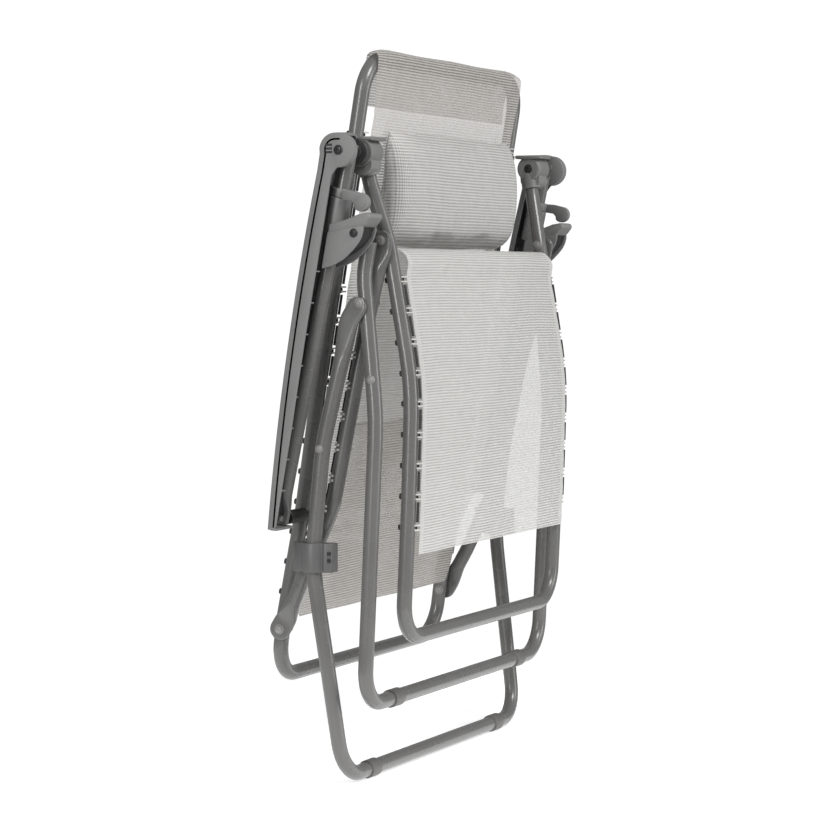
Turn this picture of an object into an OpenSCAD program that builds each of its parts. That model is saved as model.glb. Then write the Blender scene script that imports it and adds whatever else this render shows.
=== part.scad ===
// Folding reclining lounge chair, shown folded flat and standing on its rear leg.
// +X is the chair's width, +Y its back when folded, +Z up; the floor is z = 0.

/* [Tubes] */
// Outer diameter of every frame tube
tube_d = 20; // [18:0.5:21]
// Radius of the frame corners, on the tube's centre line
corner_r = 48; // [40:1:60]

/* [Widths] */
// Half width of the back frame
back_x = 250; // [248:1:251]
// Half width of the legrest frame below the knee
legrest_x = 253; // [250:1:254]
// Half width of the seat bars
seat_x = 271; // [271:1:272]
// Half width of the front leg
front_leg_x = 293; // [293:1:294]
// Half width of the rear leg at its floor bar
rear_leg_x = 284; // [280:1:286]
// Half width of the armrest tubes
arm_x = 325; // [325:1:328]

/* [Armrest] */
// Distance across the armrest shell, from its inner to its outer edge
armrest_w = 50; // [46:1:50]
// Depth of the armrest's side wall at its head
armrest_depth = 26; // [22:1:30]
// Depth of the armrest's side wall at its tail
armrest_tail_depth = 12; // [10:1:18]

/* [Fabric] */
// Thickness of the woven panels
fabric_t = 2; // [1.5:0.5:3]
// Half width of the panels
fabric_x = 232; // [220:1:234]
// Thickness of the head pillow
pillow_t = 52; // [40:1:56]

/* [Hidden] */
$fn = 48;
tube_r = tube_d / 2;
tube_sides = 16;
arc_step = 10;
mid_y = 16;
// Height of the rear floor bar, and the radius and reach of the foot sleeves
foot_z = 12;
foot_r = 12.4;
foot_x = 205;
foot_len = 28;
// Pivots in the side view, as [y, z]
arm_front = [-30, 820];
arm_rear = [71, 350];
hip = [103, 198];
knee = [-50, 708];
apex = [-36, 628];
lock = [-45, 716];
// Rivets and the gap that a moving joint runs with
rivet_r = 3;
run = 0.05;
head_r = 6.5;
head_t = 2.5;
tab_r = 13;
hip_tab_r = 14.5;
tab_t = 7;
gap = 0.5;
// The seat bar's knee tab stands a little outside its tube
knee_tab_x = seat_x + 2.4;
// The armrest tube's direction in the side view, and a place along it from the front pivot
arm_len = norm(arm_rear - arm_front);
arm_dir = (arm_rear - arm_front) / arm_len;
arm_tilt = atan2(arm_dir[0], -arm_dir[1]);
function on_arm(s, off = 0) =
    arm_front + s * arm_dir + off * [-arm_dir[1], arm_dir[0]];

// Side-view outlines of the frames: [x, y, z, bend radius] from the top end down to the corner
legrest_side = [
    [-275, -27, 812, 0], [-271, -33, 780, 60], [-256, -51, 706, 120], [-legrest_x, -83, 520, 420],
    [-legrest_x, -78, 360, 300], [-legrest_x, -70, 192, corner_r]
];
front_leg_side = [
    [-front_leg_x, -42, 706, 0], [-front_leg_x, -34, 664, 120], [-front_leg_x, -51, 480, 420],
    [-front_leg_x, -34, 108, corner_r]
];
rear_leg_side = [
    [-303, -18, 600, 0], [-301, 21, 445, 300], [-299, 38, 292, 260],
    [-rear_leg_x, 0, foot_z, corner_r]
];
back_side = [
    [-back_x, -18, 945, corner_r], [-back_x, 53, 515, 500], [-back_x, 78, 350, 500],
    [-back_x, 105, 212, 120], [-back_x, 115, 132, corner_r]
];
seat_bar_path = [
    [-seat_x + 2, 84, 231, 0], [-seat_x, 64, 272, 60], [-seat_x, 22, 362, 150],
    [-seat_x, -25, 590, 200], [-seat_x, -44, 672, 0]
];

function unit(v) = v / norm(v);
function xyz(p) = [p[0], p[1], p[2]];
function flip(side) = [for (i = [len(side) - 1:-1:0]) [-side[i][0], side[i][1], side[i][2], side[i][3]]];
function turn(a, b, c) = acos(max(-1, min(1, unit(b - a) * unit(c - b))));

// The arc that rounds corner b between a and c with radius r
function corner(a, b, c, r) =
    let (angle = turn(a, b, c))
    angle < 0.5 || r <= 0 ? [b] :
    let (reach = r * tan(angle / 2),
         start = b + unit(a - b) * reach,
         bisector = unit(unit(a - b) + unit(c - b)),
         centre = b + bisector * r / cos(angle / 2),
         n = max(1, ceil(angle / arc_step)),
         u = unit(start - centre),
         v = unit(unit(b - a) - (unit(b - a) * u) * u))
    [for (i = [0:n]) centre + r * (u * cos(angle * i / n) + v * sin(angle * i / n))];

// A path with its corners rounded; a closed path rounds its first and last corners too
function rounded(p, closed = false) =
    let (n = len(p))
    [for (i = [0:n - 1])
        let (a = p[(i + n - 1) % n], b = p[i], c = p[(i + 1) % n])
        each (!closed && (i == 0 || i == n - 1) ? [xyz(b)] : corner(xyz(a), xyz(b), xyz(c), b[3]))];

// The point of a path where it crosses the height z
function at_z(path, z) =
    [for (i = [0:len(path) - 2])
        let (a = path[i], b = path[i + 1])
        if ((a[2] - z) * (b[2] - z) <= 0 && abs(a[2] - b[2]) > 0.01)
            a + (b - a) * (z - a[2]) / (b[2] - a[2])][0];

// A round tube swept along a path that never runs along Y
module pipe(path, r = tube_r, closed = false) {
    n = len(path);
    k = tube_sides;
    function tangent(i) = closed
        ? unit(path[(i + 1) % n] - path[(i + n - 1) % n])
        : unit(path[min(i + 1, n - 1)] - path[max(i - 1, 0)]);
    rings = [for (i = [0:n - 1])
        let (t = tangent(i), a = unit(cross([0, 1, 0], t)), b = cross(t, a))
        for (j = [0:k - 1]) path[i] + r * (a * cos(360 * j / k) + b * sin(360 * j / k))];
    last = closed ? n - 1 : n - 2;
    walls = [for (i = [0:last]) for (j = [0:k - 1])
        let (m = (i + 1) % n, q = (j + 1) % k)
        [i * k + j, m * k + j, m * k + q, i * k + q]];
    caps = closed ? [] : [[for (j = [0:k - 1]) j], [for (j = [k - 1:-1:0]) (n - 1) * k + j]];
    polyhedron(points = rings, faces = concat(walls, caps), convexity = 6);
}

// A plate of the side view, t thick and centred on x
module plate(x, t) {
    translate([x - t / 2, 0, 0]) rotate([90, 0, 90]) linear_extrude(t) children();
}

// A rounded bar of the side view between two points, a hair narrower along its straight
// sides than across its round ends
module strip(a, b, r) {
    d = b - a;
    w = r - 0.1;
    translate(a) circle(r);
    translate(b) circle(r);
    translate(a) rotate(atan2(d[1], d[0])) translate([0, -w]) square([norm(d), 2 * w]);
}

// A round pin along X from x0 to x1 at a point of the side view
module pin(p, x0, x1, r) {
    translate([min(x0, x1), p[0], p[1]]) rotate([0, 90, 0]) cylinder(r = r, h = abs(x1 - x0));
}

module rivet(p, x0, x1, r = rivet_r) {
    pin(p, x0, x1, r);
    pin(p, x0 - head_t, x0, head_r);
    pin(p, x1, x1 + head_t, head_r);
}

// Every side piece is drawn on the left, at negative x
module side(right) {
    mirror([right ? 1 : 0, 0, 0]) children();
}

module pair() {
    side(false) children();
    side(true) children();
}

module place() {
    translate([0, -mid_y, 0]) children();
}

legrest_path = rounded(concat(legrest_side, flip(legrest_side)));
front_leg_path = rounded(concat(front_leg_side, flip(front_leg_side)));
rear_leg_path = rounded(concat(rear_leg_side, flip(rear_leg_side)));
back_path = rounded(concat(back_side, flip(back_side)), closed = true);
seat_path = rounded(seat_bar_path);

module back_frame() {
    color([0.43, 0.42, 0.41]) place() difference() {
        pipe(back_path, closed = true);
        pair() pin(hip, -back_x - 12, -back_x + 12, rivet_r + run);
        pair() pin(arm_rear, -back_x - 12, -back_x + 12, rivet_r + run);
    }
}

module legrest_frame() {
    color([0.43, 0.42, 0.41]) place() difference() {
        pipe(legrest_path);
        pair() pin(knee, -270, -240, rivet_r + run);
    }
}

module front_leg_frame() {
    color([0.43, 0.42, 0.41]) place() difference() {
        union() {
            pipe(front_leg_path);
            pair() plate(-front_leg_x, 12) strip(lock, [-40, 690], tab_r);
        }
        pair() pin(apex, -310, -275, rivet_r + run);
        pair() pin(lock, -310, -275, rivet_r + run);
        pair() pin([-48, 530], -310, -275, rivet_r + run);
    }
}

module rear_leg_frame() {
    tab_x = -front_leg_x - tube_r - gap - tab_t / 2;
    color([0.43, 0.42, 0.41]) place() difference() {
        union() {
            pipe(rear_leg_path);
            pair() plate(tab_x, tab_t) strip(apex, [-19, 604], tab_r);
            pair() hull() {
                plate(tab_x, tab_t - 1) translate([-19, 606]) circle(tab_r - 1, $fn = 32);
                translate([-302, -8, 560]) sphere(tube_r, $fn = 32);
            }
        }
        pair() pin(apex, -320, -300, rivet_r + run);
        pair() pin([22, 440], -320, -285, rivet_r + run);
    }
}

module seat_bar(right) {
    hip_x = -back_x - tube_r - gap - tab_t / 2;
    color([0.43, 0.42, 0.41]) place() side(right) difference() {
        union() {
            pipe(seat_path);
            plate(hip_x, tab_t) strip(hip, [93, 214], hip_tab_r);
            hull() {
                plate(hip_x, tab_t - 1) translate([94, 212]) circle(hip_tab_r - 1, $fn = 32);
                translate([-seat_x + 1, 72, 255]) sphere(tube_r + 0.2, $fn = 32);
            }
            plate(-knee_tab_x, tab_t) strip(knee, [-48, 692], tab_r);
            hull() {
                plate(-knee_tab_x, tab_t - 1) translate([-48, 694]) circle(tab_r - 1, $fn = 32);
                translate([-seat_x, -40, 655]) sphere(tube_r + 0.2, $fn = 32);
            }
        }
        pin(hip, -280, -250, rivet_r + run);
        pin(apex, -290, -255, rivet_r + run);
        pin(knee, -290, -255, rivet_r + run);
    }
}

module arm_tube(right) {
    tail = on_arm(arm_len - 26);
    color([0.43, 0.42, 0.41]) place() side(right) difference() {
        union() {
            translate([-arm_x, on_arm(-9)[0], on_arm(-9)[1]]) rotate([180 + arm_tilt, 0, 0])
                cylinder(r = tube_r, h = arm_len - 17);
            plate(-arm_x, tab_t) {
                strip(tail, arm_rear, tube_r - 0.5);
                translate(arm_rear) circle(tab_r);
            }
        }
        pin(arm_front, -arm_x - 20, -arm_x + 20, rivet_r + run);
        pin(arm_rear, -arm_x - 20, -arm_x + 20, rivet_r + run);
    }
}

// The rear edge of the armrest bows out in one long arc from head to tail, and its top
// surface rises behind that edge by armrest_crown at the tail
armrest_top = [-4, 812];
armrest_tail = [72, 338];
armrest_bow = 8;
armrest_crown = [12, 0];

// A bowed band of the side view from d0 inside the rear edge to a depth that tapers from
// d_head to d_tail, stopping trim short of both ends
module armrest_band(tail, d0, d_head, d_tail, trim = 0) {
    chord = tail - armrest_top;
    len_c = norm(chord);
    r = (len_c * len_c / 4 + armrest_bow * armrest_bow) / (2 * armrest_bow);
    half = asin(len_c / 2 / r) * (1 - 2 * trim / len_c);
    n = 16;
    mid = (armrest_top + tail) / 2;
    out = [-chord[1], chord[0]] / len_c;
    function on(a, d) =
        mid + out * (armrest_bow - r) + (r - d) * (out * cos(a) + chord / len_c * sin(a));
    polygon(concat(
        [for (i = [0:n]) on(-half + 2 * half * i / n, d0)],
        [for (i = [n:-1:0]) on(-half + 2 * half * i / n, d_head + (d_tail - d_head) * i / n)]));
}

module armrest(right) {
    outer_x = -arm_x - 33;
    edge_w = 22;
    wall = 3;
    lip = 9;
    tail_lip = 5;
    crown_tail = armrest_tail + armrest_crown;
    color([0.36, 0.36, 0.35]) place() side(right) difference() {
        union() {
            difference() {
                plate(outer_x + edge_w / 2, edge_w)
                    armrest_band(armrest_tail, 0, armrest_depth, armrest_tail_depth);
                plate(outer_x + wall + edge_w / 2, edge_w)
                    armrest_band(armrest_tail, wall, armrest_depth + 1, armrest_tail_depth + 1, wall);
            }
            difference() {
                plate(outer_x + edge_w - wall + (armrest_w - edge_w + wall) / 2,
                      armrest_w - edge_w + wall) armrest_band(crown_tail, 0, lip, tail_lip);
                plate(outer_x + edge_w - wall + (armrest_w - edge_w) / 2, armrest_w - edge_w + 0.1)
                    armrest_band(crown_tail, wall, lip + 1, tail_lip + 1, wall);
            }
            for (i = [0:5])
                plate(outer_x + 7, 12) intersection() {
                    armrest_band(armrest_tail, 1, 9, 9);
                    translate([-30, 400 + i * 65]) square([140, 2.5]);
                }
            plate(outer_x + 6, 12) translate(arm_front) circle(22);
            plate(outer_x + 3, 6) strip(arm_front + [6, 2], [-1, 786], 13);
        }
        pin(arm_front, outer_x - 5, -arm_x, rivet_r + run);
        pin(arm_front, outer_x - 1, outer_x + 4, head_r + 1.5);
        pin(arm_front, outer_x + 14, -300, 19);
        plate(outer_x + 38, 40) strip(arm_rear, arm_rear + [3, -20], 17);
    }
}

module arm_washer(right) {
    color([0.13, 0.13, 0.13]) place() side(right) difference() {
        union() {
            pin(arm_front, -arm_x + tube_r + 0.2, -310, 9);
            pin(arm_front, -310.5, -300.6, 17);
        }
        pin(arm_front, -arm_x - 5, -290, rivet_r + run);
    }
}

module legrest_knuckle(right) {
    color([0.46, 0.46, 0.45]) place() side(right) difference() {
        union() {
            pin(arm_front, -300, -262, 19);
            plate(-279, 34) strip(arm_front + [0, 3], [-30, 806], 17);
            translate([-300, -50, 834]) cube([42, 40, 6]);
        }
        pipe(legrest_path, r = tube_r + 0.1);
        pin(arm_front, -305, -255, rivet_r + run);
    }
}

module arm_front_screws() {
    outer_x = -arm_x - 33;
    color([0.16, 0.16, 0.16]) place() pair() {
        pin(arm_front, outer_x + 1, -262, rivet_r);
        pin(arm_front, outer_x + 1, outer_x + 4, head_r);
        pin(arm_front, -262, -258, head_r);
    }
}

module arm_rear_spacers() {
    neck_end = -306;
    color([0.13, 0.13, 0.13]) place() pair() difference() {
        union() {
            pin(arm_rear, -arm_x + tab_t / 2 + gap, neck_end, 5);
            pin(arm_rear, neck_end, -back_x - tube_r - 0.2, 9);
        }
        pin(arm_rear, -arm_x, -back_x, rivet_r + run);
    }
}

module arm_rear_rivets() {
    color([0.62, 0.62, 0.62]) place() pair() {
        pin(arm_rear, -arm_x + tab_t / 2 + gap, -back_x + tube_r, rivet_r);
        pin(arm_rear, -back_x + tube_r, -back_x + tube_r + head_t, head_r);
    }
}

module arm_tail_rivets() {
    color([0.62, 0.62, 0.62]) place() pair() {
        pin(arm_rear, -arm_x - tab_t / 2, -arm_x + tab_t / 2, rivet_r);
        pin(arm_rear, -arm_x - tab_t / 2 - head_t, -arm_x - tab_t / 2, head_r);
    }
}

// Places along the armrest tube, from its front pivot
housing_top = 60;
housing_tail = 106;
lever_top = 50;
housing_x = -front_leg_x - tube_r - 1.5;
housing_outer = -arm_x - 20;

module lock_housing(right) {
    w = housing_x - housing_outer;
    color([0.36, 0.36, 0.35]) place() side(right) difference() {
        union() {
            plate((housing_x + housing_outer) / 2, w) intersection() {
                translate([6, 724]) circle(66);
                polygon([on_arm(housing_top, 13), on_arm(housing_top, -15), [-62, 722],
                         [-62, 670], on_arm(150, 13)]);
            }
            translate([-arm_x, on_arm(housing_top)[0], on_arm(housing_top)[1]])
                rotate([180 + arm_tilt, 0, 0]) cylinder(r = 14.5, h = housing_tail - housing_top);
        }
        translate([-arm_x, on_arm(0)[0], on_arm(0)[1]]) rotate([180 + arm_tilt, 0, 0])
            cylinder(r = tube_r + 0.3, h = 220);
        plate(-320, 26) translate([-36, 692]) circle(9);
        pin(lock, housing_outer - 1, housing_x - 8, rivet_r + run);
        pin([4, 703], housing_x - 6, housing_x + 1, rivet_r + run);
    }
}

module lock_lever(right) {
    paddle = [-54, 757];
    color([0.36, 0.36, 0.35]) place() side(right) difference() {
        union() {
            translate([-arm_x, on_arm(lever_top)[0], on_arm(lever_top)[1]])
                rotate([180 + arm_tilt, 0, 0]) cylinder(r = 13.8, h = 9.5);
            plate(-arm_x - 8, 9) strip(on_arm(lever_top + 5, -12), paddle + [4, 1], 4.4);
            pin(paddle, -arm_x - 15, -arm_x - 3, 9.5);
        }
        translate([-arm_x, on_arm(0)[0], on_arm(0)[1]]) rotate([180 + arm_tilt, 0, 0])
            cylinder(r = tube_r + 0.3, h = 220);
    }
}

module lock_pivot_screws() {
    color([0.16, 0.16, 0.16]) place() pair() {
        pin(lock, housing_outer + 0.5, housing_x - 9, rivet_r);
        pin(lock, housing_outer - head_t, housing_outer, head_r);
        pin(lock, housing_outer, housing_outer + 0.5, rivet_r);
        pin([4, 703], housing_x - 5, housing_x, rivet_r);
        pin([4, 703], housing_x, housing_x + 1, rivet_r + 2);
    }
}

// A moulded clip wraps the rear leg's tube and reaches back to the back frame's tube
module fold_clip(right) {
    b = at_z(rear_leg_path, 299);
    clip_z = 280;
    clip_h = 38;
    clip_r = 14.6;
    wrap = [for (a = [250:-14:110]) [b[0], b[1]] + clip_r * [cos(a), sin(a)]];
    color([0.33, 0.33, 0.32]) place() side(right) difference() {
        translate([0, 0, clip_z]) linear_extrude(clip_h) polygon(concat(
            [[-301, 7], [-306, 17]], wrap,
            [[-303, 50], [-299, 64], [-291, 67], [-287, 52], [-286, 34], [-286, 7]]));
        pipe(rear_leg_path, r = tube_r + 0.1);
        for (z = [296, 305]) pin([11, z], -312, -280, 2.2);
    }
}

// Sleeves round a floor bar, one near each corner, with a small flat underneath
module foot_pads(y, z) {
    color([0.43, 0.42, 0.41]) place() pair() difference() {
        pin([y, z], -foot_x - foot_len / 2, -foot_x + foot_len / 2, foot_r);
        pin([y, z], -foot_x - foot_len, -foot_x + foot_len, tube_r + run);
        translate([-foot_x - foot_len, y - 20, z - foot_z - 20]) cube([2 * foot_len, 40, 20]);
    }
}

module front_foot_pads() {
    foot_pads(-34, 108);
}

module rear_foot_pads() {
    foot_pads(0, foot_z);
}

module leg_apex_rivets() {
    color([0.62, 0.62, 0.62]) place() pair()
        rivet(apex, -front_leg_x - tube_r - gap - tab_t, -seat_x + tube_r);
}

module seat_back_rivets() {
    color([0.62, 0.62, 0.62]) place() pair()
        rivet(hip, -back_x - tube_r - gap - tab_t, -back_x + tube_r);
}

module knee_rivets() {
    color([0.62, 0.62, 0.62]) place() pair()
        rivet(knee, -knee_tab_x - tab_t / 2, -246);
}

module front_leg_splice_rivets() {
    color([0.62, 0.62, 0.62]) place() pair() {
        rivet([-48, 530], -front_leg_x - tube_r, -front_leg_x + tube_r);
        pin(lock, -front_leg_x - 6, -front_leg_x + 6, rivet_r);
        pin(lock, -front_leg_x + 6, -front_leg_x + 8.5, head_r);
    }
}

module rear_leg_splice_rivets() {
    color([0.62, 0.62, 0.62]) place() pair()
        rivet([22, 440], -301 - tube_r - 0.1, -301 + tube_r + 0.1);
}

// A panel of the side view that follows a path between two heights, moved forward by off
module panel(path, z0, z1, off, half) {
    n = 12;
    pts = [for (i = [0:n]) at_z(path, z0 + (z1 - z0) * i / n)];
    plate(0, 2 * half) polygon(concat(
        [for (p = pts) [p[1] - off, p[2]]],
        [for (i = [n:-1:0]) [pts[i][1] - off - fabric_t, pts[i][2]]]));
}

module back_fabric() {
    bar = [-18, 945];
    color([0.72, 0.71, 0.68]) place() {
        plate(0, 396) difference() {
            union() {
                circle_at(bar, tube_r + 0.6 + fabric_t);
                strip(bar + [-3, -30], bar + [7, -60], 2);
                polygon([bar + [-tube_r - 2.4, 0], bar + [tube_r + 2.6, 0], bar + [9, -60],
                         bar + [3, -62]]);
            }
            circle_at(bar, tube_r + 0.6);
        }
        panel(back_path, 262, 890, tube_r + 1, fabric_x);
    }
}

module circle_at(p, r) {
    translate(p) circle(r);
}

module seat_fabric() {
    color([0.66, 0.64, 0.6]) place() panel(seat_path, 268, 664, -tube_r - 3, fabric_x);
}

module legrest_fabric() {
    color([0.78, 0.77, 0.74]) place() panel(legrest_path, 300, 690, tube_r + 3, 248);
}

module headrest_pillow() {
    color([0.74, 0.73, 0.7]) place() plate(0, 2 * 217) polygon([
        [-28, 862], [-18.5, 862], [-5, 780], [8, 700], [0, 694], [-pillow_t + 24, 716],
        [-pillow_t + 8, 780], [-pillow_t + 4, 836]]);
}

module pillow_strap() {
    color([0.2, 0.2, 0.2]) place() plate(0, 2 * 30) polygon([[12, 780], [15, 780], [18, 760], [15, 760]]);
}

// Loops of the elastic lacing round a side tube, at even heights; an open loop leaves the
// tube's outer side bare
module loops(path, z0, z1, step, open = true) {
    loop_w = 7;
    bare_x = -4;
    pair() for (z = [z0:step:z1]) {
        p = at_z(path, z);
        d = unit(at_z(path, z + 4) - at_z(path, z - 4));
        translate(p) rotate([-atan2(d[1], d[2]), 0, 0]) difference() {
            cylinder(r = tube_r + 2.6, h = loop_w, center = true);
            cylinder(r = tube_r + 0.5, h = loop_w + 2, center = true);
            if (open) translate([bare_x - 2 * tube_r, -2 * tube_r, -loop_w])
                cube([2 * tube_r, 4 * tube_r, 2 * loop_w]);
        }
    }
}

module back_lace_loops() {
    color([0.24, 0.24, 0.23]) place() loops(back_path, 245, 845, 40);
}

module seat_lace_loops() {
    color([0.24, 0.24, 0.23]) place() loops(seat_path, 361, 561, 40, open = false);
}

module legrest_lace_loops() {
    color([0.24, 0.24, 0.23]) place() loops(legrest_path, 338, 658, 40);
}

back_frame();
legrest_frame();
front_leg_frame();
rear_leg_frame();
seat_bar(false);  // seat_bar_left
seat_bar(true);  // seat_bar_right
arm_tube(false);  // arm_tube_left
arm_tube(true);  // arm_tube_right
armrest(false);  // armrest_left
armrest(true);  // armrest_right
arm_washer(false);  // arm_washer_left
arm_washer(true);  // arm_washer_right
legrest_knuckle(false);  // legrest_knuckle_left
legrest_knuckle(true);  // legrest_knuckle_right
arm_front_screws();
arm_rear_spacers();
arm_rear_rivets();
arm_tail_rivets();
lock_housing(false);  // lock_housing_left
lock_housing(true);  // lock_housing_right
lock_lever(false);  // lock_lever_left
lock_lever(true);  // lock_lever_right
lock_pivot_screws();
fold_clip(false);  // fold_clip_left
fold_clip(true);  // fold_clip_right
front_foot_pads();
rear_foot_pads();
leg_apex_rivets();
seat_back_rivets();
knee_rivets();
front_leg_splice_rivets();
rear_leg_splice_rivets();
back_fabric();
seat_fabric();
legrest_fabric();
headrest_pillow();
pillow_strap();
back_lace_loops();
seat_lace_loops();
legrest_lace_loops();
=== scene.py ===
"""Looks for a folding reclining lounge chair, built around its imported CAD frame.

Sizes are in millimetres in the same side view as the CAD source: x across, y back, z up. row() turns
them into metres in the row frame. The chair is folded at rest and stands on its rear leg.
"""

import math

import bmesh
import bpy
import numpy as np
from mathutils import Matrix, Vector


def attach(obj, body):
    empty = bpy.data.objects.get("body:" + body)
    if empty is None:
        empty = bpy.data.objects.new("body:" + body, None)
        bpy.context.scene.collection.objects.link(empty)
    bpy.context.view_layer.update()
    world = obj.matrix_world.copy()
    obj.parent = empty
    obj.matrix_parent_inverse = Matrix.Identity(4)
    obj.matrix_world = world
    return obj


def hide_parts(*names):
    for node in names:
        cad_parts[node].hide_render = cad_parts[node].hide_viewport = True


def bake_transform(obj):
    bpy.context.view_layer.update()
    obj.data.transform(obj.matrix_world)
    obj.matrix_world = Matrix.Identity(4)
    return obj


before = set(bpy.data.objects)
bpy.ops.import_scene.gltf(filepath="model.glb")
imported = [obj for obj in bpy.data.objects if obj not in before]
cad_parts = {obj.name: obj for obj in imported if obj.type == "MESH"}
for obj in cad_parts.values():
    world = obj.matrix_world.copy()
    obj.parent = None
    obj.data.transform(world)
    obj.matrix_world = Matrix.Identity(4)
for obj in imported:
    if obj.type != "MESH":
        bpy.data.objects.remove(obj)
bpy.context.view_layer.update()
scene = bpy.context.scene

# ---------------------------------------------------------------- sizes

MID_Y = 16.0
TUBE_R = 10.0
CORNER_R = 48.0
TAB_T = 7.0
TAB_R = 13.0
HIP_TAB_R = 14.5
BACK_X, LEGREST_X, SEAT_X = 250.0, 253.0, 271.0
FRONT_LEG_X, REAR_LEG_X, ARM_X = 293.0, 284.0, 325.0
KNEE_TAB_X = -SEAT_X - 2.4
FOOT_Z = 12.0
# The gap that moving parts run with, and the distance between two ties of the lacing
GAP = 0.5
LACE_PITCH = 40.0

# Pivots in the side view, as (y, z)
ARM_FRONT = np.array([-30.0, 820.0])
ARM_REAR = np.array([71.0, 350.0])
HIP = np.array([103.0, 198.0])
KNEE = np.array([-50.0, 708.0])
APEX = np.array([-36.0, 628.0])
LOCK = np.array([-45.0, 716.0])
ARM_LEN = float(np.linalg.norm(ARM_REAR - ARM_FRONT))
ARM_DIR = (ARM_REAR - ARM_FRONT) / ARM_LEN

# Frame outlines on the left side: x, y, z and bend radius, from the top down to the floor corner
LEGREST_SIDE = [
    (-275, -27, 812, 0), (-271, -33, 780, 60), (-256, -51, 706, 120),
    (-LEGREST_X, -83, 520, 420), (-LEGREST_X, -78, 360, 300), (-LEGREST_X, -70, 192, CORNER_R),
]
FRONT_LEG_SIDE = [
    (-FRONT_LEG_X, -42, 706, 0), (-FRONT_LEG_X, -34, 664, 120),
    (-FRONT_LEG_X, -51, 480, 420), (-FRONT_LEG_X, -34, 108, CORNER_R),
]
REAR_LEG_SIDE = [
    (-307, -38, 634, 0), (-307, -19, 604, 40), (-302, -8, 560, 60), (-301, 21, 445, 300),
    (-299, 38, 292, 260), (-REAR_LEG_X, 0, FOOT_Z, CORNER_R),
]
BACK_SIDE = [
    (-BACK_X, -18, 945, CORNER_R), (-BACK_X, 53, 515, 500), (-BACK_X, 78, 350, 500),
    (-BACK_X, 105, 212, 120), (-BACK_X, 115, 132, CORNER_R),
]
SEAT_SIDE = [
    (-264, 103, 198, 0), (-264, 93, 214, 30), (-270, 72, 255, 50), (-SEAT_X, 64, 272, 60),
    (-SEAT_X, 22, 362, 150), (-SEAT_X, -25, 590, 200), (-SEAT_X, -44, 672, 120),
    (KNEE_TAB_X, -50, 708, 0),
]


# ---------------------------------------------------------------- mesh helpers


def row(points):
    """Points in side-view millimetres as metres in the row frame."""
    return (np.asarray(points, float).reshape(-1, 3) - (0.0, MID_Y, 0.0)) * 0.001


def unit(v):
    v = np.asarray(v, float)
    return v / np.linalg.norm(v)


def corner(a, b, c, r, step=5.0):
    """The arc that rounds corner b between a and c with radius r."""
    u, w = unit(b - a), unit(c - b)
    turn = math.acos(float(np.clip(u @ w, -1, 1)))
    if turn < 0.01 or r <= 0:
        return [b]
    start = b - u * r * math.tan(turn / 2)
    centre = b + unit(w - u) * r / math.cos(turn / 2)
    n = max(2, math.ceil(math.degrees(turn) / step))
    e0 = unit(start - centre)
    e1 = unit(u - (u @ e0) * e0)
    return [centre + r * (e0 * math.cos(turn * i / n) + e1 * math.sin(turn * i / n)) for i in range(n + 1)]


def rounded(points, closed=False):
    """A path with its corners rounded by the radius that is each point's last number."""
    p = np.asarray(points, float)
    n = len(p)
    out = []
    for i in range(n):
        if not closed and i in (0, n - 1):
            out.append(p[i, :3])
        else:
            out += corner(p[i - 1, :3], p[i, :3], p[(i + 1) % n, :3], p[i, 3])
    return np.array(out)


def both_sides(side):
    """A left-hand outline followed by its mirror image, as one U-shaped path."""
    return list(side) + [(-x, y, z, r) for x, y, z, r in reversed(side)]


def mirrored(points):
    return np.asarray(points, float) * (-1, 1, 1)


def fine(path, step=8.0, closed=False):
    """The same path with extra points, so that none are more than a step apart."""
    p = np.vstack([path, path[:1]]) if closed else np.asarray(path)
    out = []
    for a, b in zip(p[:-1], p[1:]):
        n = max(1, math.ceil(np.linalg.norm(b - a) / step))
        out += [a + (b - a) * i / n for i in range(n)]
    return np.array(out if closed else out + [p[-1]])


def ease(t):
    t = float(np.clip(t, 0, 1))
    return t * t * (3 - 2 * t)


def ring(centre, a, b, ra, rb, power, sides):
    """A closed ring of points: a circle at power 2, and a flattened oval with square shoulders above it."""
    angles = np.linspace(0, 2 * math.pi, sides, endpoint=False)
    c, s = np.cos(angles), np.sin(angles)
    u = np.sign(c) * np.abs(c) ** (2 / power)
    v = np.sign(s) * np.abs(s) ** (2 / power)
    return centre + np.outer(ra * u, a) + np.outer(rb * v, b)


def skin(rings, closed=False):
    """Vertices and faces of the surface through rings of equal length, capped at both ends if it is open."""
    k, n = len(rings[0]), len(rings)
    faces = []
    for i in range(n if closed else n - 1):
        m = (i + 1) % n
        faces += [(i * k + j, m * k + j, m * k + (j + 1) % k, i * k + (j + 1) % k) for j in range(k)]
    if not closed:
        faces += [tuple(range(k - 1, -1, -1)), tuple((n - 1) * k + j for j in range(k))]
    return np.vstack(rings), faces


def sweep(path, section, closed=False, sides=32, step=8.0):
    """A tube along a path. section(s, length) gives its half thickness, half width and power at s."""
    p = fine(path, step, closed)
    n = len(p)
    if closed:
        tangents = [unit(p[(i + 1) % n] - p[i - 1]) for i in range(n)]
    else:
        tangents = [unit(p[min(i + 1, n - 1)] - p[max(i - 1, 0)]) for i in range(n)]
    lengths = np.concatenate([[0], np.cumsum(np.linalg.norm(np.diff(p, axis=0), axis=1))])
    rings = []
    for i in range(n):
        a = unit(np.cross((0, 1, 0), tangents[i]))
        b = np.cross(tangents[i], a)
        rings.append(ring(p[i], a, b, *section(lengths[i], lengths[-1]), sides))
    return skin(rings, closed)


def round_tube(_s, _length):
    """The section of a plain tube, which is the same all along."""
    return TUBE_R, TUBE_R, 2.0


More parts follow.
